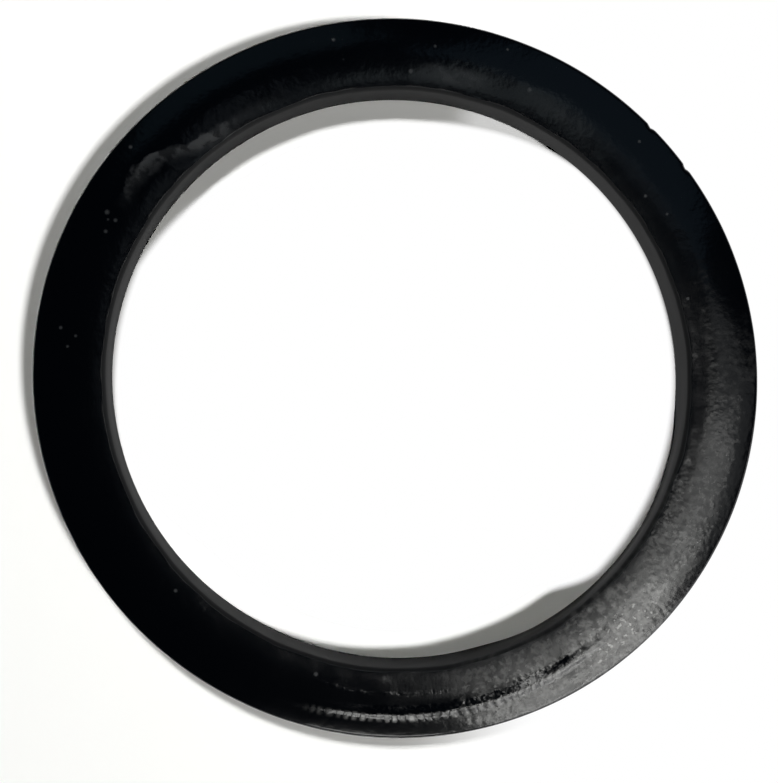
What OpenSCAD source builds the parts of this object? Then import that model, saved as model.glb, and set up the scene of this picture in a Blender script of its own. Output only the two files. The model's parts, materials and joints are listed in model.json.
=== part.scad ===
// Flat sealing ring of black rubber, moulded in one piece.
// The underside is flat. The top face is gently crowned, with its crest midway between the
// hole and the outer wall. All four edges of the band are rounded.
// Origin: centre of the hole, on the underside. +Z is the ring's axis, pointing up.

/* [Ring] */
// Diameter of the round hole
hole_d = 53; // [40:0.5:120]
// Width of the rubber band, from the hole to the outer wall
band_w = 6.5; // [4:0.1:9]
// Height of the ring, from the underside to the crest of the top face
ring_h = 4; // [2.5:0.1:10]
// Radius of the crown, the arc that the top face follows across the band
crown_r = 18; // [12:0.5:20]

/* [Edges] */
// Radius of the outer top edge
outer_edge_r = 0.35; // [0.1:0.05:0.5]
// Radius of the inner top edge
inner_edge_r = 0.35; // [0.1:0.05:0.5]
// Radius of the two bottom edges
bottom_edge_r = 0.3; // [0.1:0.05:0.5]

/* [Smoothness] */
// Facets in a full turn, for the preview
facets = 180; // [48:4:360]

/* [Hidden] */
rubber_black = [0.07, 0.075, 0.08];
hole_r = hole_d / 2;
half_w = band_w / 2;
outer_r = hole_r + band_w;
crest_x = hole_r + half_w;
crown_y = ring_h - crown_r;
// How far an edge's waste runs past the outline of the section
spill = 0.2;
// How much too high a top edge's arc sits, so that it crosses the crown and doesn't just graze it
hair = 0.0005;

// A top edge of radius r touches its wall, and the crown from inside.
// Height of the centre of its arc
function edge_y(r) = crown_y + sqrt(pow(crown_r - r, 2) - pow(half_w - r, 2)) + hair;
// Direction from that centre to where the arc meets the crown, in degrees above the horizontal
function edge_top(r) = acos((half_w - r) / (crown_r - r));

// What rounding an edge takes off: the corner between two directions from the centre of the
// edge's arc, less the arc itself. The directions are at most 90 degrees apart.
module edge_waste(r, from, to) {
    reach = r + spill;
    middle = (from + to) / 2;
    difference() {
        polygon([
            [0, 0],
            reach * [cos(from), sin(from)],
            sqrt(2) * reach * [cos(middle), sin(middle)],
            reach * [cos(to), sin(to)]
        ]);
        circle(r = r);
    }
}

// Section of the band, with x as the distance from the ring's axis.
module ring_section() {
    difference() {
        intersection() {
            translate([hole_r, 0])
                square([band_w, ring_h]);
            translate([crest_x, crown_y])
                circle(r = crown_r);
        }
        translate([outer_r - outer_edge_r, edge_y(outer_edge_r)])
            edge_waste(outer_edge_r, 0, edge_top(outer_edge_r));
        translate([hole_r + inner_edge_r, edge_y(inner_edge_r)])
            edge_waste(inner_edge_r, 180 - edge_top(inner_edge_r), 180);
        translate([outer_r - bottom_edge_r, bottom_edge_r])
            edge_waste(bottom_edge_r, 270, 360);
        translate([hole_r + bottom_edge_r, bottom_edge_r])
            edge_waste(bottom_edge_r, 180, 270);
    }
}

module sealing_ring() {
    color(rubber_black)
        rotate_extrude($fn = facets)
            ring_section($fn = 128);
}

sealing_ring();
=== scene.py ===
import json
import math

import bpy
from mathutils import Matrix, Vector


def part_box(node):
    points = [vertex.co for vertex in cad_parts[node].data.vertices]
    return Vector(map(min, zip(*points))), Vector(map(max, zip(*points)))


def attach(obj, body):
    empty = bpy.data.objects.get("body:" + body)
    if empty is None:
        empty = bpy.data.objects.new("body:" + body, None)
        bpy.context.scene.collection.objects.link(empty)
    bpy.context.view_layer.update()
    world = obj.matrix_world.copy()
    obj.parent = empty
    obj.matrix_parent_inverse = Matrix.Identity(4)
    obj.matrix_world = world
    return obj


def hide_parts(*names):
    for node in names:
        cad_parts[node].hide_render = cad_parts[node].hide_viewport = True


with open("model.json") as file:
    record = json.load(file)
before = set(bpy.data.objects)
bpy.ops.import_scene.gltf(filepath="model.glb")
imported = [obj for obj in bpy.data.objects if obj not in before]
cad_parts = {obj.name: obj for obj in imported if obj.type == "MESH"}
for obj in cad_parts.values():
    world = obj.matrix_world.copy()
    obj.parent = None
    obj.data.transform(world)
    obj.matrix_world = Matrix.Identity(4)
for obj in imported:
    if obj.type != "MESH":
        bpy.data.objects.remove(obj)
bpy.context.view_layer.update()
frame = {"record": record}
print("frame loaded")

# The ring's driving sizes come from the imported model, and Blender's lengths are metres.
mounts = {mount["name"]: mount for mount in frame["record"]["mounts"]}
ringLow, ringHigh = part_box("sealing_ring")
holeRadius = mounts["hole"]["dims"]["r_mm"] / 1000
outerRadius = mounts["outer_wall"]["dims"]["r_mm"] / 1000
mm = 0.001


def deselectAll():
    if bpy.context.object and bpy.context.object.mode != "OBJECT":
        bpy.ops.object.mode_set(mode="OBJECT")
    for thing in list(bpy.context.selected_objects):
        thing.select_set(False)


def pickOnly(thing):
    deselectAll()
    thing.select_set(True)
    bpy.context.view_layer.objects.active = thing


def polar(angle, radius, height=0.0):
    turn = math.radians(angle)
    return Vector((radius * math.cos(turn), radius * math.sin(turn), height))


def hump(value, reach):
    # 1 at zero, falling smoothly to 0 at either side
    share = min(abs(value) / reach, 1.0)
    return 0.5 + 0.5 * math.cos(math.pi * share)


def ramp(value, start, end):
    # 0 at the start, 1 at the end, and smooth between them
    share = min(max((value - start) / (end - start), 0.0), 1.0)
    return share * share * (3 - 2 * share)


def plateau(value, start, full, fading, end):
    # rises from the start to full, and falls from fading to the end
    return ramp(value, start, full) * (1 - ramp(value, fading, end))


# The ring's section is drawn with one travelling vertex, and then spun round the axis.
sectionShape = {
    "crownRadius": 18 * mm,
    "topEdgeRadius": 0.35 * mm,
    "bottomEdgeRadius": 0.3 * mm,
    "crownSteps": 54,
    "topEdgeSteps": 7,
    "bottomEdgeSteps": 4,
    "wallSteps": 8,
    "undersideSteps": 6,
    "turnSteps": 800,
    "mergeDistance": 0.002 * mm,
}


def drawArc(centre, sweep, steps):
    bpy.ops.mesh.spin(steps=steps, angle=math.radians(sweep), center=centre, axis=(0, 1, 0))


def drawLine(step, steps):
    for _ in range(steps):
        bpy.ops.mesh.extrude_region_move(TRANSFORM_OT_translate={"value": step})


def makeRing():
    shape = sectionShape
    topEdge, bottomEdge = shape["topEdgeRadius"], shape["bottomEdgeRadius"]
    halfBand = (outerRadius - holeRadius) / 2
    crestRadius = holeRadius + halfBand
    crownCentre = Vector((crestRadius, 0, ringHigh.z - shape["crownRadius"]))
    # each top edge's arc touches its wall, and the crown from inside
    inset = halfBand - topEdge
    edgeHeight = crownCentre.z + math.sqrt((shape["crownRadius"] - topEdge) ** 2 - inset ** 2)
    edgeSweep = math.degrees(math.acos(inset / (shape["crownRadius"] - topEdge)))
    wallFoot = ringLow.z + bottomEdge

    deselectAll()
    bpy.ops.mesh.primitive_plane_add(size=1 * mm, location=(outerRadius, 0, wallFoot))
    ring = bpy.context.object
    ring.name = ring.data.name = "rubberRing"
    bpy.ops.object.transform_apply(location=True)
    bpy.ops.object.mode_set(mode="EDIT")
    bpy.ops.mesh.select_mode(type="VERT")
    bpy.ops.mesh.select_all(action="SELECT")
    bpy.ops.mesh.merge(type="CENTER")

    wallStep = (edgeHeight - wallFoot) / shape["wallSteps"]
    undersideStep = (outerRadius - holeRadius - 2 * bottomEdge) / shape["undersideSteps"]
    drawLine((0, 0, wallStep), shape["wallSteps"])
    drawArc((outerRadius - topEdge, 0, edgeHeight), edgeSweep, shape["topEdgeSteps"])
    drawArc(crownCentre, 180 - 2 * edgeSweep, shape["crownSteps"])
    drawArc((holeRadius + topEdge, 0, edgeHeight), edgeSweep, shape["topEdgeSteps"])
    drawLine((0, 0, -wallStep), shape["wallSteps"])
    drawArc((holeRadius + bottomEdge, 0, wallFoot), 90, shape["bottomEdgeSteps"])
    drawLine((undersideStep, 0, 0), shape["undersideSteps"])
    drawArc((outerRadius - bottomEdge, 0, wallFoot), 90, shape["bottomEdgeSteps"])
    bpy.ops.mesh.select_all(action="SELECT")
    bpy.ops.mesh.remove_doubles(threshold=shape["mergeDistance"])    # closes the section

    fullTurn = math.radians(360)
    bpy.ops.mesh.spin(steps=shape["turnSteps"], angle=fullTurn, center=(0, 0, 0), axis=(0, 0, 1))
    bpy.ops.mesh.select_all(action="SELECT")
    bpy.ops.mesh.remove_doubles(threshold=shape["mergeDistance"])    # closes the turn
    bpy.ops.mesh.normals_make_consistent(inside=False)
    bpy.ops.object.mode_set(mode="OBJECT")
    bpy.ops.object.shade_smooth()
    return ring


ring = makeRing()
print("ring spun:", len(ring.data.vertices), "vertices,", len(ring.data.polygons), "faces")


# How the moulded ring strays from a true one. Angles are degrees round it from +X towards +Y.
# Radii from its axis, heights, depths, flanks and reaches are millimetres. A path is a list of
# angles, each with the radius there. Four numbers are where a mark starts, is full, starts to
# fade, and ends. Two radii or heights are what it fades between.
ringWear = {
    "longAxis": 152,            # the ring lies slightly oval
    "ovalStretch": 0.0070,

    "seamPath": [               # crest of the raised seam along the lower rim
        (240, 31.1), (250, 30.75), (262, 30.47), (282, 30.45),
        (292, 30.35), (303, 30.1), (314, 29.8),
    ],
    "seamEnds": (245, 266, 302, 314),
    "seamRise": 0.105,
    "seamInnerFlank": 0.65,
    "seamOuterFlank": 0.75,

    "smearPath": [              # outer edge of the pinched smear at the upper left
        (118, 27.8), (126, 28.1), (131, 28.4), (134, 29.2),
        (137.5, 30.3), (141, 30.5), (149, 30.0),
    ],
    "smearEnds": (119, 128, 141, 149),
    "smearAcross": (-0.1, 1.1, 1.1, 2.4),       # counted inwards from that edge
    "smearDepth": 0.05,

    "nicks": [(37, 0.5), (45.5, 0.45)],    # angle, and reach along the rim
    "nickRadii": (32.5, 32.9),
    "nickHeights": (2.0, 3.4),
    "nickDepth": 0.14,

    "trimRadii": (26.6, 26.9),  # the hole's top edge was trimmed a little unevenly
    "trimHeights": (1.0, 3.0),
    "trimDepth": 0.11,
    "trimSize": 4.0,

    # how far the foot of the hole's wall is cut back at each angle
    "rightFoot": [(284, 0.0), (300, 0.34), (330, 0.42), (345, 0.26), (358, 0.0)],
    "leftFoot": [(120, 0.0), (150, 0.12), (180, 0.20), (225, 0.22), (262, 0.0)],
    "footRadii": (27.2, 28.5),
    "footHeights": (0.6, 3.0),

    "topHeights": (2.8, 3.6),   # the swells and the mottle are on the top only
    "swellDepth": 0.10,
    "swellSize": 9.0,
    "mottleDepth": 0.010,
    "mottleSize": 1.3,

    "leastWeight": 0.001,       # no vertex is painted with less
}


def follow(path, angle):
    # radius of a path at this angle
    for (startAngle, startRadius), (endAngle, endRadius) in zip(path, path[1:]):
        if startAngle <= angle <= endAngle:
            share = ramp(angle, startAngle, endAngle)
            return startRadius + (endRadius - startRadius) * share
    return None


def seamWeight(angle, radius, height):
    crest = follow(ringWear["seamPath"], angle)
    if crest is None:
        return 0.0
    inner = min(max(1 + (radius - crest) / ringWear["seamInnerFlank"], 0.0), 1.0)
    outer = 1 - ramp(radius, crest, crest + ringWear["seamOuterFlank"])
    return plateau(angle, *ringWear["seamEnds"]) * inner * outer


def smearWeight(angle, radius, height):
    edge = follow(ringWear["smearPath"], angle)
    if edge is None:
        return 0.0
    across = plateau(edge - radius, *ringWear["smearAcross"])
    return plateau(angle, *ringWear["smearEnds"]) * across


def nickWeight(angle, radius, height):
    deepest = 0.0
    for middle, reach in ringWear["nicks"]:
        along = math.radians(angle - middle) * radius
        deepest = max(deepest, hump(along, reach))
    return deepest * ramp(radius, *ringWear["nickRadii"]) * ramp(height, *ringWear["nickHeights"])


def trimWeight(angle, radius, height):
    return ramp(height, *ringWear["trimHeights"]) * (1 - ramp(radius, *ringWear["trimRadii"]))


def topWeight(angle, radius, height):
    return ramp(height, *ringWear["topHeights"])


def footWeight(path, direction):
    # how much of the cut lies along this direction
    def weightAt(angle, radius, height):
        cut = follow(ringWear[path], angle)
        if cut is None:
            return 0.0
        along = max(polar(angle, 1).dot(Vector(direction)), 0.0)
        low = 1 - ramp(height, *ringWear["footHeights"])
        inner = 1 - ramp(radius, *ringWear["footRadii"])
        return along * low * inner * cut
    return weightAt


def paintWeights(name, weightAt, lowest=0.2):
    # fills a vertex group by the place of each vertex, on what stands above the lowest height
    group = ring.vertex_groups.new(name=name)
    for vertex in ring.data.vertices:
        x, y, z = vertex.co / mm
        if z < lowest:
            continue
        weight = weightAt(math.degrees(math.atan2(y, x)) % 360, math.hypot(x, y), z)
        if weight > ringWear["leastWeight"]:
            group.add([vertex.index], weight, "REPLACE")


def push(name, amount, direction="Z", texture=None, middle=0.0):
    # displaces a painted part of the ring, and applies it
    pickOnly(ring)
    modifier = ring.modifiers.new(name, "DISPLACE")
    modifier.vertex_group = name
    modifier.direction = direction
    modifier.strength = amount * mm
    modifier.mid_level = middle
    if texture:
        modifier.texture = texture
        modifier.texture_coords = "LOCAL"
    bpy.ops.object.modifier_apply(modifier=modifier.name)
    ring.vertex_groups.remove(ring.vertex_groups[name])


def clouds(name, size):
    texture = bpy.data.textures.new(name, "CLOUDS")
    texture.noise_scale = size * mm
    texture.noise_depth = 2
    return texture


def stretchOval():
    # turned so that its long axis lies along X, stretched, and turned back
    turn = math.radians(ringWear["longAxis"])
    pickOnly(ring)
    ring.rotation_euler.z = -turn
    bpy.ops.object.transform_apply(rotation=True)
    ring.scale = (1 + ringWear["ovalStretch"], 1 - ringWear["ovalStretch"], 1)
    bpy.ops.object.transform_apply(scale=True)
    ring.rotation_euler.z = turn
    bpy.ops.object.transform_apply(rotation=True)


def roughen(name, weightAt, depth, size, direction):
    # an uneven push, half of it up or out and half of it down or in
    paintWeights(name, weightAt)
    push(name, depth, direction=direction, texture=clouds(name, size), middle=0.5)


paintWeights("seam", seamWeight)
push("seam", ringWear["seamRise"])
paintWeights("smear", smearWeight)
push("smear", -ringWear["smearDepth"])
paintWeights("nicks", nickWeight)
push("nicks", -ringWear["nickDepth"], direction="NORMAL")
roughen("trim", trimWeight, ringWear["trimDepth"], ringWear["trimSize"], "NORMAL")
for path, direction, axis in (
    ("rightFoot", (1, 0, 0), "X"),
    ("rightFoot", (0, -1, 0), "Y"),
    ("leftFoot", (-1, 0, 0), "X"),
):
    paintWeights("foot", footWeight(path, direction), lowest=-1)
    push("foot", sum(direction), direction=axis)
roughen("swell", topWeight, ringWear["swellDepth"], ringWear["swellSize"], "Z")
roughen("mottle", topWeight, ringWear["mottleDepth"], ringWear["mottleSize"], "Z")
stretchOval()
print("ring shaped")

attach(ring, "root")
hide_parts("sealing_ring")


def makeMath(tree, operation, first, second=None, third=None):
    # a math node: each input is a number or another node's output
    node = tree.nodes.new("ShaderNodeMath")
    node.operation = operation
    for socket, value in zip(node.inputs, (first, second, third)):
        if value is None:
            continue
        if isinstance(value, (int, float)):
            socket.default_value = value
        else:
            tree.links.new(value, socket)
    return node.outputs[0]


def chain(tree, operation, values):
    result = values[0]
    for value in values[1:]:
        result = makeMath(tree, operation, result, value)
    return result


def multiply(tree, *values):
    return chain(tree, "MULTIPLY", values)


def addUp(tree, *values):
    return chain(tree, "ADD", values)


def highest(tree, *values):
    return chain(tree, "MAXIMUM", values)


def makeGap(tree, first, second):
    # how far apart two values are
    return makeMath(tree, "ABSOLUTE", makeMath(tree, "SUBTRACT", first, second))


def makeRange(tree, value, start, end, low=0.0, high=1.0, smooth=True):
    # start to end becomes low to high, and nothing passes them
    node = tree.nodes.new("ShaderNodeMapRange")
    node.interpolation_type = "SMOOTHSTEP" if smooth else "LINEAR"
    tree.links.new(value, node.inputs["Value"])
    node.inputs["From Min"].default_value = start
    node.inputs["From Max"].default_value = end
    node.inputs["To Min"].default_value = low
    node.inputs["To Max"].default_value = high
    return node.outputs["Result"]


def makeBlend(tree, mask, low, high):
    # low where the mask is 0, and high where it is 1
    return makeRange(tree, mask, 0, 1, low, high)


def makeInverse(tree, mask):
    return makeBlend(tree, mask, 1, 0)


def makeSpan(tree, value, start, end, fade):
    # 1 from start to end, fading to 0 outside them
    rise = makeRange(tree, value, start - fade, start)
    return multiply(tree, rise, makeRange(tree, value, end, end + fade, 1, 0))


def makeMix(tree, share, first, second):
    # share 0 gives the first colour and 1 the second: each is a value or another node's output
    node = tree.nodes.new("ShaderNodeMix")
    node.data_type = "RGBA"
    tree.links.new(share, node.inputs[0])
    sockets = [socket for socket in node.inputs if socket.type == "RGBA"]
    for socket, colour in zip(sockets, (first, second)):
        if isinstance(colour, tuple):
            socket.default_value = colour
        else:
            tree.links.new(colour, socket)
    return [socket for socket in node.outputs if socket.type == "RGBA"][0]


def makePlace(tree):
    # the place on the ring or round it, in millimetres and degrees
    coordinates = tree.nodes.new("ShaderNodeTexCoord")
    scale = tree.nodes.new("ShaderNodeMapping")
    scale.inputs["Scale"].default_value = (1 / mm, 1 / mm, 1 / mm)
    split = tree.nodes.new("ShaderNodeSeparateXYZ")
    tree.links.new(coordinates.outputs["Object"], scale.inputs["Vector"])
    tree.links.new(scale.outputs["Vector"], split.inputs[0])
    x, y, z = (split.outputs[axis] for axis in "XYZ")
    angle = makeMath(tree, "DEGREES", makeMath(tree, "ARCTAN2", y, x))
    angle = makeMath(tree, "WRAP", angle, 360, 0)
    return {
        "vector": scale.outputs["Vector"],
        "radius": makeMath(tree, "SQRT", addUp(tree, multiply(tree, x, x), multiply(tree, y, y))),
        "angle": angle,                                          # from 0 to 360
        "turned": makeMath(tree, "WRAP", angle, 180, -180),      # from -180 to 180
        "height": z,
    }


def makeNoise(tree, place, perMillimetre, detail):
    node = tree.nodes.new("ShaderNodeTexNoise")
    node.inputs["Scale"].default_value = perMillimetre
    node.inputs["Detail"].default_value = detail
    tree.links.new(place["vector"], node.inputs["Vector"])
    return node.outputs["Fac"]


def makePatches(tree, place, patches, low=0.0, high=1.0):
    perMillimetre, detail, start, end = patches
    return makeRange(tree, makeNoise(tree, place, perMillimetre, detail), start, end, low, high)


def makePath(tree, place, points):
    # radius of a path of (angle, radius) points, straight between them
    radius = points[0][1]
    for (startAngle, startRadius), (endAngle, endRadius) in zip(points, points[1:]):
        change = endRadius - startRadius
        step = makeRange(tree, place["angle"], startAngle, endAngle, 0, change, smooth=False)
        radius = makeMath(tree, "ADD", step, radius)
    return radius


# Lengths are millimetres and angles are degrees, as they are for the ring's wear.
# Three Angles or Radii are a start, an end and a fade beyond them. Two are where a mark starts
# and where it is full, and four add its strength at both. Across is the same, off a path.
# Noise is its scale for each millimetre and its detail. Patches add the noise levels at which
# they start and are full. Strengths are a mark's weakest and its strongest.
rubberLook = {
    "colour": (0.0004, 0.0006, 0.0010, 1),
    "dustAndSheenColour": (0.040, 0.042, 0.044, 1),      # dust specks tint it towards this, and so do a painted highlight on the smear and painted sheen by the hole
    "paintedGlintColour": (0.24, 0.24, 0.235, 1),       # and painted glints on the sandy relief and on the beads' tops towards this
    "ior": 1.5,
    "roughness": 0.13,
    "handledRoughness": 0.28,
    "wallRoughness": 0.85,                  # the walls and the underside are dull
    "blotchPatches": (0.9, 3, 0.38, 0.62),
    "handledPatches": (0.22, 2, 0.35, 0.65),

    "grainNoise": (2.4, 0.8),
    "grainHeight": 0.007,
    "mottleNoise": (1.1, 2),
    "mottleHeight": 0.012,
    "calmAngles": (252, 274, 8),            # the grain is weaker inside the seam's left half
    "calmRadii": (30.6, 30.2),
    "calmGrain": 0.4,

    # the sandy part, where the moulding flowed together: angle, reach and strength of each spot
    "sandSpots": [(311, 14, 1.0), (333, 20, 0.40), (291, 14, 0.6), (0, 14, 0.1), (350, 14, 0.25)],
    "sandFull": 0.2,                        # the share of its reach where a spot is full
    "sandRadii": (27.2, 29.6, 0.4, 1),
    "sandHeight": 0.026,
    "sandHandling": 0.4,                    # how much it dulls the gloss
    "domesPerMillimetre": 2.0,
    "domeSmoothness": 0.8,
    # painted glints, flecked over the sandy part
    "fleckPatches": (1.7, 2, 0.36, 0.76),
    "fleckRadii": (26.9, 27.5, 0.3, 1),
    "fleckHeights": (3.35, 3.6),            # none on the walls
    "fleckStrength": 0.36,
    "sparklePatches": (2.4, 1, 0.58, 0.70),
    "sparkleStrength": 0.85,
    "sparkleAngles": (306, 316, 7),
    "sparkleRadii": (29.8, 31.6, 0.8),
    "fewSparkleRadii": (28.6, 31.4, 0.7),   # fewer of them wherever it is sandy
    "fewSparkleStrength": 0.55,
    "matteAngles": (280, 318, 15),          # duller and smoother along the hole
    "matteRadii": (29.6, 29.0),
    "matteHandling": 0.42,
    "matteSmoothing": 0.6,

    # beads along the crest of the seam, with painted glints on their tops, and the black line inside
    # them
    "beadPath": [
        (246, 31.1), (256, 30.9), (264, 30.82), (280, 30.86),
        (290, 30.75), (300, 30.6), (308, 30.5),
    ],
    "beadAngles": (266, 293, 14),
    "beadAcross": (0.55, 0.1),
    "beadRadius": 31.0,                     # where the pitch is counted
    "beadPitch": 0.78,
    "beadWander": 0.5,
    "beadTrough": -1.2,                     # below -1, so that the beads touch
    "beadStrengths": (0.4, 1.1),
    "beadHeight": 0.022,
    "beadGlint": 0.60,
    "valleyPath": [(262, 30.1), (282, 30.1), (292, 30.02), (303, 29.78), (307, 29.5)],
    "valleyAngles": (266, 300, 5),
    "valleyAcross": (0.5, 0.2),
    "valleyPatches": (1.5, 2, 0.3, 0.7),
    "valleyRaggedness": 0.15,
    "valleyGloss": 0.5,                     # its share of the roughness beside it
    "innerLinePath": [(252, 28.2), (262, 28.6), (282, 28.7)],
    "innerLineAngles": (258, 278, 5),
    "innerLineAcross": (0.35, 0),
    "innerLineHeight": 0.02,

    # a painted highlight along the smear at the upper left, crisp outside its path and fading slowly
    # inside it
    "smearPath": [
        (119, 27.9), (126, 28.2), (131, 28.5), (134, 29.3),
        (137.5, 30.4), (141, 30.6), (148, 30.1),
    ],
    "smearHighlightAngles": (127, 141, 8),
    "smearHighlightOutside": (-0.1, 0.3),            # both are counted inwards from the path
    "smearHighlightInside": (1.9, 0.3),
    "smearHighlightPatches": (0.7, 3, 0.3, 0.7),
    "smearHighlightRaggedness": 0.25,
    "smearHighlightStrengths": (0.2, 0.62),

    # clean places without painted glints: the rim at the lower right, and beside the hole at the right
    "cleanRimRadii": (31.0, 31.9),
    "cleanRimAngles": (318, 323),
    "cleanHoleRadii": (28.8, 27.8),
    "cleanHoleStart": (-26, -8),
    "cleanHoleEnd": (60, 40),

    "creaseAngle": 327,                     # a slanting hair crease in the lower right rim
    "creaseSlant": 0.25,
    "creaseRadii": (31.0, 32.0, 0.8),
    "creaseAcross": (0.7, 0),
    "creaseDepth": 0.009,

    "handledShare": 0.15,                   # how much patchy handling dulls the whole top
    "edgeRadius": 28.0,                     # inside it, the hole's top edge is as dull as the wall
    "edgeLevels": (0.984, 0.962),           # levels are 1 where the surface lies flat
    "wallLevels": (0.5, 0.2),

    # painted sheen patches beside the hole's top edge: angle, radius, reach round the ring in degrees,
    # reach across it, strength
    "paintedSheen": [(80, 28.0, 9, 1.1, 0.35), (119, 27.6, 9, 0.9, 0.12), (60, 28.2, 10, 1.0, 0.10)],
    "paintedSheenFull": (0.3, 0.2),                # the shares of both reaches where it is full
    "paintedSheenStrengths": (0.5, 1),
    # angle, radius and size of each speck of dust
    "specks": [
        (139, 32.0, 0.16), (150, 30.3, 0.22), (150.5, 29.3, 0.18), (153, 29.6, 0.18),
        (171, 30.8, 0.16), (174, 30.0, 0.14), (172, 29.4, 0.14), (223, 27.8, 0.16),
        (254, 27.8, 0.20), (16, 27.5, 0.14), (37, 28.1, 0.14), (32, 28.8, 0.13),
        (45, 30.9, 0.14), (66, 28.9, 0.20), (84, 30.4, 0.15), (88, 28.0, 0.20),
        (151, 29.9, 0.13), (101, 31.3, 0.15), (100, 29.4, 0.12), (72, 31.6, 0.12),
    ],
    "speckEdge": (1.5, 0.3),                # it fades out and is full at these shares of its size
    "speckHeight": 3.9,                     # just under the crest
    "speckStrength": 0.6,
}


def makeSpecks(tree, place):
    mask = 0.0
    edge, full = rubberLook["speckEdge"]
    for angle, radius, size in rubberLook["specks"]:
        gap = tree.nodes.new("ShaderNodeVectorMath")
        gap.operation = "DISTANCE"
        tree.links.new(place["vector"], gap.inputs[0])
        gap.inputs[1].default_value = polar(angle, radius, rubberLook["speckHeight"])
        speck = makeRange(tree, gap.outputs["Value"], edge * size, full * size)
        mask = highest(tree, speck, mask)
    return multiply(tree, mask, rubberLook["speckStrength"])


def makePaintedSheen(tree, place, blotches):
    # painted sheen beside the hole's top edge
    mask = 0.0
    fullAlong, fullAcross = rubberLook["paintedSheenFull"]
    for angle, radius, reach, breadth, strength in rubberLook["paintedSheen"]:
        offAngle = makeGap(tree, place["angle"], angle)
        offRadius = makeGap(tree, place["radius"], radius)
        along = makeRange(tree, offAngle, reach, fullAlong * reach)
        across = makeRange(tree, offRadius, breadth, fullAcross * breadth)
        mask = highest(tree, multiply(tree, along, across, strength), mask)
    return multiply(tree, mask, makeBlend(tree, blotches, *rubberLook["paintedSheenStrengths"]))


def makeSmearHighlight(tree, place, blotches):
    # painted highlight along the pinched smear dent
    look = rubberLook
    inside = makeMath(tree, "SUBTRACT", makePath(tree, place, look["smearPath"]), place["radius"])
    ragged = look["smearHighlightRaggedness"]
    inside = addUp(tree, inside, makePatches(tree, place, look["smearHighlightPatches"], -ragged, ragged))
    return multiply(
        tree,
        makeRange(tree, inside, *look["smearHighlightOutside"]),
        makeRange(tree, inside, *look["smearHighlightInside"]),
        makeSpan(tree, place["angle"], *look["smearHighlightAngles"]),
        makeBlend(tree, blotches, *look["smearHighlightStrengths"]),
    )


def makeSand(tree, place):
    mask = 0.0
    for angle, reach, strength in rubberLook["sandSpots"]:
        offAngle = makeGap(tree, place["angle"], angle)
        spot = makeRange(tree, offAngle, reach, rubberLook["sandFull"] * reach)
        mask = highest(tree, multiply(tree, spot, strength), mask)
    return mask


def makeValley(tree, place):
    look = rubberLook
    offLine = makeGap(tree, place["radius"], makePath(tree, place, look["valleyPath"]))
    ragged = look["valleyRaggedness"]
    offLine = addUp(tree, offLine, makePatches(tree, place, look["valleyPatches"], -ragged, ragged))
    along = makeSpan(tree, place["angle"], *look["valleyAngles"])
    return multiply(tree, makeRange(tree, offLine, *look["valleyAcross"]), along)


def makeBeads(tree, place, masks):
    # a row of ripples, uneven in pitch and in strength
    look = rubberLook
    along = multiply(tree, place["angle"], math.radians(1) * look["beadRadius"])
    along = addUp(tree, along, multiply(tree, masks["handling"], look["beadWander"]))
    ripple = makeMath(tree, "SINE", multiply(tree, along, 2 * math.pi / look["beadPitch"]))
    offLine = makeGap(tree, place["radius"], makePath(tree, place, look["beadPath"]))
    onLine = multiply(
        tree,
        makeRange(tree, offLine, *look["beadAcross"]),
        makeSpan(tree, place["angle"], *look["beadAngles"]),
        makeInverse(tree, masks["valley"]),
    )
    uneven = makeBlend(tree, masks["blotches"], *look["beadStrengths"])
    return multiply(tree, makeRange(tree, ripple, look["beadTrough"], 1), onLine, uneven)


def makeMasks(tree, place):
    # where each mark and finish lies: 1 in it, and 0 away from it
    look = rubberLook
    radius, angle, turned = place["radius"], place["angle"], place["turned"]
    masks = {
        "blotches": makePatches(tree, place, look["blotchPatches"]),
        "handling": makePatches(tree, place, look["handledPatches"]),
        "sand": makeSand(tree, place),
        "valley": makeValley(tree, place),
    }
    matteAcross = makeRange(tree, radius, *look["matteRadii"])
    masks["matte"] = multiply(tree, makeSpan(tree, angle, *look["matteAngles"]), matteAcross)
    masks["beads"] = makeBeads(tree, place, masks)
    masks["cleanRim"] = multiply(
        tree,
        makeRange(tree, radius, *look["cleanRimRadii"]),
        makeRange(tree, angle, *look["cleanRimAngles"]),
    )
    masks["cleanHole"] = multiply(
        tree,
        makeRange(tree, radius, *look["cleanHoleRadii"]),
        makeRange(tree, turned, *look["cleanHoleStart"]),
        makeRange(tree, turned, *look["cleanHoleEnd"]),
    )
    # real dust specks, with a painted highlight on the smear and painted sheen by the hole
    masks["tint"] = highest(
        tree,
        makeSmearHighlight(tree, place, masks["blotches"]),
        makePaintedSheen(tree, place, masks["blotches"]),
        makeSpecks(tree, place),
    )
    return masks


def makePaintedGlints(tree, place, masks):
    # painted glints: flecks on the sandy part, sparkles among them, and on the tops of the beads
    look = rubberLook
    flecks = multiply(
        tree,
        makePatches(tree, place, look["fleckPatches"]),
        masks["sand"],
        makeRange(tree, place["radius"], *look["fleckRadii"]),
        look["fleckStrength"],
        makeInverse(tree, highest(tree, masks["cleanRim"], masks["cleanHole"], masks["valley"])),
        makeRange(tree, place["height"], *look["fleckHeights"]),
    )
    bright = multiply(
        tree,
        makeSpan(tree, place["angle"], *look["sparkleAngles"]),
        makeSpan(tree, place["radius"], *look["sparkleRadii"]),
    )
    few = makeSpan(tree, place["radius"], *look["fewSparkleRadii"])
    few = multiply(tree, few, masks["sand"], look["fewSparkleStrength"])
    sparkles = makePatches(tree, place, look["sparklePatches"])
    sparkles = multiply(tree, sparkles, highest(tree, bright, few), look["sparkleStrength"])
    return highest(tree, flecks, sparkles, multiply(tree, masks["beads"], look["beadGlint"]))


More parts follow.
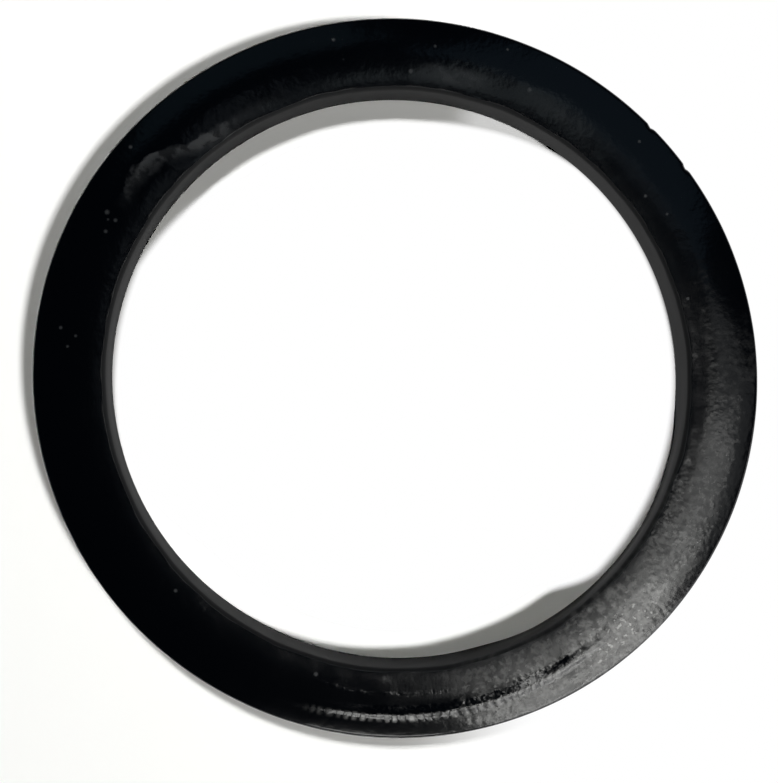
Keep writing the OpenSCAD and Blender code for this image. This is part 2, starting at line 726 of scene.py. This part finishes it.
def makeRoughness(tree, place, masks):
    # dull walls, and a top that is glossy where it is clean
    look = rubberLook
    facing = tree.nodes.new("ShaderNodeNewGeometry")
    tilt = tree.nodes.new("ShaderNodeSeparateXYZ")
    tree.links.new(facing.outputs["Normal"], tilt.inputs[0])
    level = tilt.outputs["Z"]
    nearHole = makeMath(tree, "LESS_THAN", place["radius"], look["edgeRadius"])
    holeEdge = multiply(tree, makeRange(tree, level, *look["edgeLevels"]), nearHole)
    wall = highest(tree, holeEdge, makeRange(tree, level, *look["wallLevels"]))
    handled = addUp(
        tree,
        masks["tint"],
        multiply(tree, masks["handling"], look["handledShare"]),
        multiply(tree, masks["sand"], look["sandHandling"]),
        multiply(tree, masks["matte"], look["matteHandling"]),
    )
    top = makeBlend(tree, handled, look["roughness"], look["handledRoughness"])
    top = multiply(tree, top, makeBlend(tree, masks["valley"], 1, look["valleyGloss"]))
    rise = makeMath(tree, "SUBTRACT", look["wallRoughness"], top)
    return addUp(tree, top, multiply(tree, wall, rise))


def makeRelief(tree, place, masks):
    # grain all over, sandy domes where the moulding flowed together, beads and fine lines
    look = rubberLook
    radius, angle = place["radius"], place["angle"]
    grain = multiply(tree, makeNoise(tree, place, *look["grainNoise"]), look["grainHeight"])
    mottle = multiply(tree, makeNoise(tree, place, *look["mottleNoise"]), look["mottleHeight"])
    besideSeam = makeSpan(tree, angle, *look["calmAngles"])
    besideSeam = multiply(tree, besideSeam, makeRange(tree, radius, *look["calmRadii"]))
    calm = highest(tree, masks["cleanHole"], besideSeam)
    calm = makeBlend(tree, calm, 1, look["calmGrain"])
    grain = multiply(tree, addUp(tree, grain, mottle), calm)

    domes = tree.nodes.new("ShaderNodeTexVoronoi")
    domes.feature = "SMOOTH_F1"
    domes.inputs["Scale"].default_value = look["domesPerMillimetre"]
    domes.inputs["Smoothness"].default_value = look["domeSmoothness"]
    tree.links.new(place["vector"], domes.inputs["Vector"])
    smoother = multiply(tree, masks["matte"], look["matteSmoothing"])
    smoother = highest(tree, smoother, masks["cleanHole"], masks["valley"])
    sandy = multiply(
        tree,
        domes.outputs["Distance"],
        masks["sand"],
        makeRange(tree, radius, *look["sandRadii"]),
        makeInverse(tree, smoother),
        -look["sandHeight"],
    )

    beads = multiply(tree, masks["beads"], look["beadHeight"])
    offLine = makeGap(tree, radius, makePath(tree, place, look["innerLinePath"]))
    innerLine = multiply(
        tree,
        makeRange(tree, offLine, *look["innerLineAcross"]),
        makeSpan(tree, angle, *look["innerLineAngles"]),
        masks["blotches"],
        look["innerLineHeight"],
    )
    slant = addUp(tree, angle, multiply(tree, radius, look["creaseSlant"]))
    crease = makeRange(tree, makeGap(tree, slant, look["creaseAngle"]), *look["creaseAcross"])
    creaseSpan = makeSpan(tree, radius, *look["creaseRadii"])
    crease = multiply(tree, crease, creaseSpan, -look["creaseDepth"])

    relief = tree.nodes.new("ShaderNodeBump")
    relief.inputs["Strength"].default_value = 1
    relief.inputs["Distance"].default_value = 1 * mm
    height = addUp(tree, grain, sandy, beads, innerLine, crease)
    tree.links.new(height, relief.inputs["Height"])
    return relief.outputs["Normal"]


def makeRubber():
    look = rubberLook
    material = bpy.data.materials.new("blackRubber")
    material.use_nodes = True
    tree = material.node_tree
    shader = tree.nodes["Principled BSDF"]
    shader.inputs["IOR"].default_value = look["ior"]
    place = makePlace(tree)
    masks = makeMasks(tree, place)
    # real dust specks, and a painted highlight and sheen, in a pale grey
    colour = makeMix(tree, masks["tint"], look["colour"], look["dustAndSheenColour"])
    # painted glints mix in towards a pale grey
    colour = makeMix(tree, makePaintedGlints(tree, place, masks), colour, look["paintedGlintColour"])
    tree.links.new(colour, shader.inputs["Base Color"])
    tree.links.new(makeRoughness(tree, place, masks), shader.inputs["Roughness"])
    tree.links.new(makeRelief(tree, place, masks), shader.inputs["Normal"])
    return material


ring.data.materials.clear()
ring.data.materials.append(makeRubber())
print("rubber made")


# The size is metres, radii and the fade are millimetres, and angles are degrees.
floorLook = {
    "size": 4.0,
    "white": 0.85,
    "gain": 1.84,                    # how strongly the light that falls near the ring is seen
    "offset": 0.55,                  # and what is taken off it, so that the shadows read clearly
    "plainRadii": (60, 100),         # between these it turns plain white

    # Painted light fills the shadow in the hole up to an edge. A fill has two angles, and the
    # radius of the edge at each.
    "holeMargin": 1,                 # the fills end this far past the hole's wall, under the ring
    "backFill": (50, 92, 26.6, 24.0),
    "frontFill": (-42, -60, 26.65, 24.2),
    "leftFillStart": (126, 156, 24.4, 26.7),
    "leftFillEnd": (200, 225, 26.7, 24.4),
    "fillFade": 0.5,
    "cornerAngles": (60, 72, 8),     # over these a weaker fill reaches up to the wall
    "cornerFill": 0.4,
    "rimAngles": (92, 66),           # outside the ring painted light fills the shadow this near to +X
}


def makeFill(tree, place):
    # 1 where the floor is plain white: far out, and where painted light fills the shadows
    look = floorLook
    turned, angle, radius = place["turned"], place["angle"], place["radius"]
    inHole = makeMath(tree, "LESS_THAN", radius, holeRadius / mm + look["holeMargin"])
    backEdge = makeRange(tree, turned, *look["backFill"], smooth=False)
    rightEdge = makeMath(tree, "MINIMUM", backEdge, makeRange(tree, turned, *look["frontFill"]))
    leftStart = makeRange(tree, angle, *look["leftFillStart"], smooth=False)
    leftEdge = makeMath(tree, "MINIMUM", leftStart, makeRange(tree, angle, *look["leftFillEnd"]))
    past = makeMath(tree, "SUBTRACT", radius, highest(tree, rightEdge, leftEdge))
    holeFill = makeRange(tree, past, look["fillFade"], -look["fillFade"])
    corner = multiply(tree, makeSpan(tree, turned, *look["cornerAngles"]), look["cornerFill"])
    holeFill = multiply(tree, inHole, highest(tree, holeFill, corner))
    outside = makeMath(tree, "SUBTRACT", 1.0, inHole)
    side = makeMath(tree, "ABSOLUTE", turned)
    rimFill = multiply(tree, outside, makeRange(tree, side, *look["rimAngles"]))
    return highest(tree, makeRange(tree, radius, *look["plainRadii"]), holeFill, rimFill)


def makeFloor():
    deselectAll()
    bpy.ops.mesh.primitive_plane_add(size=floorLook["size"], location=(0, 0, ringLow.z))
    floor = bpy.context.object
    floor.name = "paleFloor"
    bpy.ops.object.transform_apply(location=True)
    material = bpy.data.materials.new("paleFloor")
    material.use_nodes = True
    material.cycles.emission_sampling = "NONE"
    tree = material.node_tree
    nodes, links = tree.nodes, tree.links
    nodes.clear()
    rays = nodes.new("ShaderNodeLightPath")
    seen = highest(tree, rays.outputs["Is Camera Ray"], rays.outputs["Is Glossy Ray"])
    white, bright = floorLook["white"], floorLook["white"] * floorLook["gain"]
    diffuse = nodes.new("ShaderNodeBsdfDiffuse")
    colour = makeMix(tree, seen, (white, white, white, 1), (bright, bright, bright, 1))
    links.new(colour, diffuse.inputs["Color"])
    darken = nodes.new("ShaderNodeEmission")
    links.new(multiply(tree, seen, -floorLook["offset"]), darken.inputs["Strength"])
    near = nodes.new("ShaderNodeAddShader")
    links.new(diffuse.outputs[0], near.inputs[0])
    links.new(darken.outputs[0], near.inputs[1])

    plain = nodes.new("ShaderNodeEmission")
    mix = nodes.new("ShaderNodeMixShader")
    links.new(multiply(tree, makeFill(tree, makePlace(tree)), seen), mix.inputs[0])
    links.new(near.outputs[0], mix.inputs[1])
    links.new(plain.outputs[0], mix.inputs[2])
    output = nodes.new("ShaderNodeOutputMaterial")
    links.new(mix.outputs[0], output.inputs["Surface"])
    floor.data.materials.append(material)


# Azimuth is counted from +X towards +Y, and both angles are degrees.
# A lamp for the floor lights what is diffuse, and one for gloss is only seen in reflections.
softboxes = {
    "keyLamp": {"azimuth": 331, "elevation": 57.2, "width": 0.085, "length": 0.085, "power": 2.36,
                "colour": (1, 1, 0.985), "lights": "floor"},
    "topLamp": {"azimuth": 97, "elevation": 60, "width": 0.07, "length": 0.07, "power": 2.00,
                "colour": (1, 1, 0.985), "lights": "floor"},
    "frontStrip": {"azimuth": 315, "elevation": 70.5, "width": 0.06, "length": 0.155, "power": 0.17,
                   "colour": (1, 1, 0.97), "lights": "gloss"},
    "frontPanelHigh": {"azimuth": 324, "elevation": 67, "width": 0.12, "length": 0.035, "power": 0.042,
                       "colour": (1, 1, 0.97), "lights": "gloss"},
    "frontPanelMid": {"azimuth": 324, "elevation": 61, "width": 0.12, "length": 0.035, "power": 0.042,
                      "colour": (1, 1, 0.97), "lights": "gloss"},
    "frontPanelLow": {"azimuth": 324, "elevation": 55, "width": 0.12, "length": 0.035, "power": 0.042,
                      "colour": (1, 1, 0.97), "lights": "gloss"},
    "lowPanelHigh": {"azimuth": 304, "elevation": 60.5, "width": 0.23, "length": 0.045, "power": 0.24,
                     "colour": (1, 1, 0.97), "lights": "gloss"},
    "lowPanelMid": {"azimuth": 304, "elevation": 53, "width": 0.23, "length": 0.045, "power": 0.24,
                    "colour": (1, 1, 0.97), "lights": "gloss"},
    "lowPanelLow": {"azimuth": 304, "elevation": 45.5, "width": 0.23, "length": 0.045, "power": 0.24,
                    "colour": (1, 1, 0.97), "lights": "gloss"},
    "highSpot": {"azimuth": 324, "elevation": 81.5, "width": 0.035, "length": 0.035, "power": 0.022,
                 "colour": (1, 1, 0.98), "lights": "gloss"},
    "sideStrip": {"azimuth": 344.5, "elevation": 67, "width": 0.065, "length": 0.22, "power": 0.059,
                  "colour": (1, 1, 0.98), "lights": "gloss"},
    "sidePanel": {"azimuth": 344, "elevation": 60, "width": 0.23, "length": 0.26, "power": 0.063,
                  "colour": (0.95, 0.98, 1), "lights": "gloss"},
    "seamStrip": {"azimuth": 269, "elevation": 42.5, "width": 0.16, "length": 0.085, "power": 0.22,
                  "colour": (1, 1, 0.98), "lights": "gloss"},
    "rimPanel": {"azimuth": 305, "elevation": 32, "width": 0.32, "length": 0.33, "power": 0.76,
                 "colour": (1, 1, 1), "lights": "gloss"},
    "rimStrip": {"azimuth": 334, "elevation": 21, "width": 0.36, "length": 0.15, "power": 0.35,
                 "colour": (1, 1, 1), "lights": "gloss"},
    "overheadStrip": {"azimuth": 57, "elevation": 77.5, "width": 0.055, "length": 0.18,
                      "power": 0.0115, "colour": (0.82, 0.95, 1), "lights": "gloss"},
    "smallStrip": {"azimuth": 35, "elevation": 73.5, "width": 0.075, "length": 0.09, "power": 0.0032,
                   "colour": (0.7, 0.85, 1), "lights": "gloss"},
    "backStrip": {"azimuth": 115, "elevation": 81, "width": 0.035, "length": 0.175, "power": 0.0032,
                  "colour": (0.8, 0.9, 1), "lights": "gloss"},
    "backPanel": {"azimuth": 113, "elevation": 52, "width": 0.26, "length": 0.23, "power": 0.019,
                  "colour": (0.5, 0.8, 1), "lights": "gloss"},
    "bluePanel": {"azimuth": 48, "elevation": 59, "width": 0.26, "length": 0.26, "power": 0.029,
                  "colour": (0.5, 0.75, 1), "lights": "gloss"},
}
lampDistance = 0.6


def addSoftbox(name, look):
    lamp = bpy.data.lights.new(name, "AREA")
    lamp.shape = "RECTANGLE"
    lamp.size, lamp.size_y = look["width"], look["length"]
    lamp.energy = look["power"]
    lamp.color = look["colour"]
    softbox = bpy.data.objects.new(name, lamp)
    bpy.context.scene.collection.objects.link(softbox)
    level = math.cos(math.radians(look["elevation"]))
    rise = math.sin(math.radians(look["elevation"]))
    away = polar(look["azimuth"], level, rise)
    softbox.location = away * lampDistance
    softbox.rotation_euler = (-away).to_track_quat("-Z", "Y").to_euler()
    softbox.visible_camera = False
    softbox.visible_glossy = look["lights"] == "gloss"
    softbox.visible_diffuse = look["lights"] == "floor"


worldLook = {
    "backdrop": (1, 1, 1, 1),                  # what the camera sees
    "overhead": (0.003, 0.006, 0.012, 1),      # what reflections see above
    "horizon": (0.095, 0.1, 0.105, 1),         # and what they see low down
    "fadeHeights": (0.65, 0.15),               # sines of the elevations it fades between
}


def makeWorld():
    world = bpy.data.worlds.new("studio")
    bpy.context.scene.world = world
    world.use_nodes = True
    world.cycles_visibility.diffuse = False
    tree = world.node_tree
    place = tree.nodes.new("ShaderNodeTexCoord")
    split = tree.nodes.new("ShaderNodeSeparateXYZ")
    tree.links.new(place.outputs["Generated"], split.inputs[0])
    low = makeRange(tree, split.outputs["Z"], *worldLook["fadeHeights"])
    colour = makeMix(tree, low, worldLook["overhead"], worldLook["horizon"])
    rays = tree.nodes.new("ShaderNodeLightPath")
    colour = makeMix(tree, rays.outputs["Is Camera Ray"], colour, worldLook["backdrop"])
    tree.links.new(colour, tree.nodes["Background"].inputs["Color"])


cameraLook = {
    "spot": Vector((-4.0, 1.0, 91.0)) * mm,
    "aim": Vector((-0.975, -0.94, 3.5)) * mm,
    "lens": 44.1,
}


def makeCamera():
    data = bpy.data.cameras.new("overhead")
    data.lens = cameraLook["lens"]
    data.clip_start, data.clip_end = 1 * mm, 10
    camera = bpy.data.objects.new("overhead", data)
    bpy.context.scene.collection.objects.link(camera)
    # the frame's upper edge points towards +Y
    back = (cameraLook["spot"] - cameraLook["aim"]).normalized()
    right = Vector((0, 1, 0)).cross(back).normalized()
    up = back.cross(right)
    turn = Matrix((right, up, back)).transposed().to_4x4()
    camera.matrix_world = Matrix.Translation(cameraLook["spot"]) @ turn
    bpy.context.scene.camera = camera


makeFloor()
for name, look in softboxes.items():
    addSoftbox(name, look)
makeWorld()
makeCamera()
bpy.context.scene.view_settings.view_transform = "Standard"
print("stage, lamps and camera set")
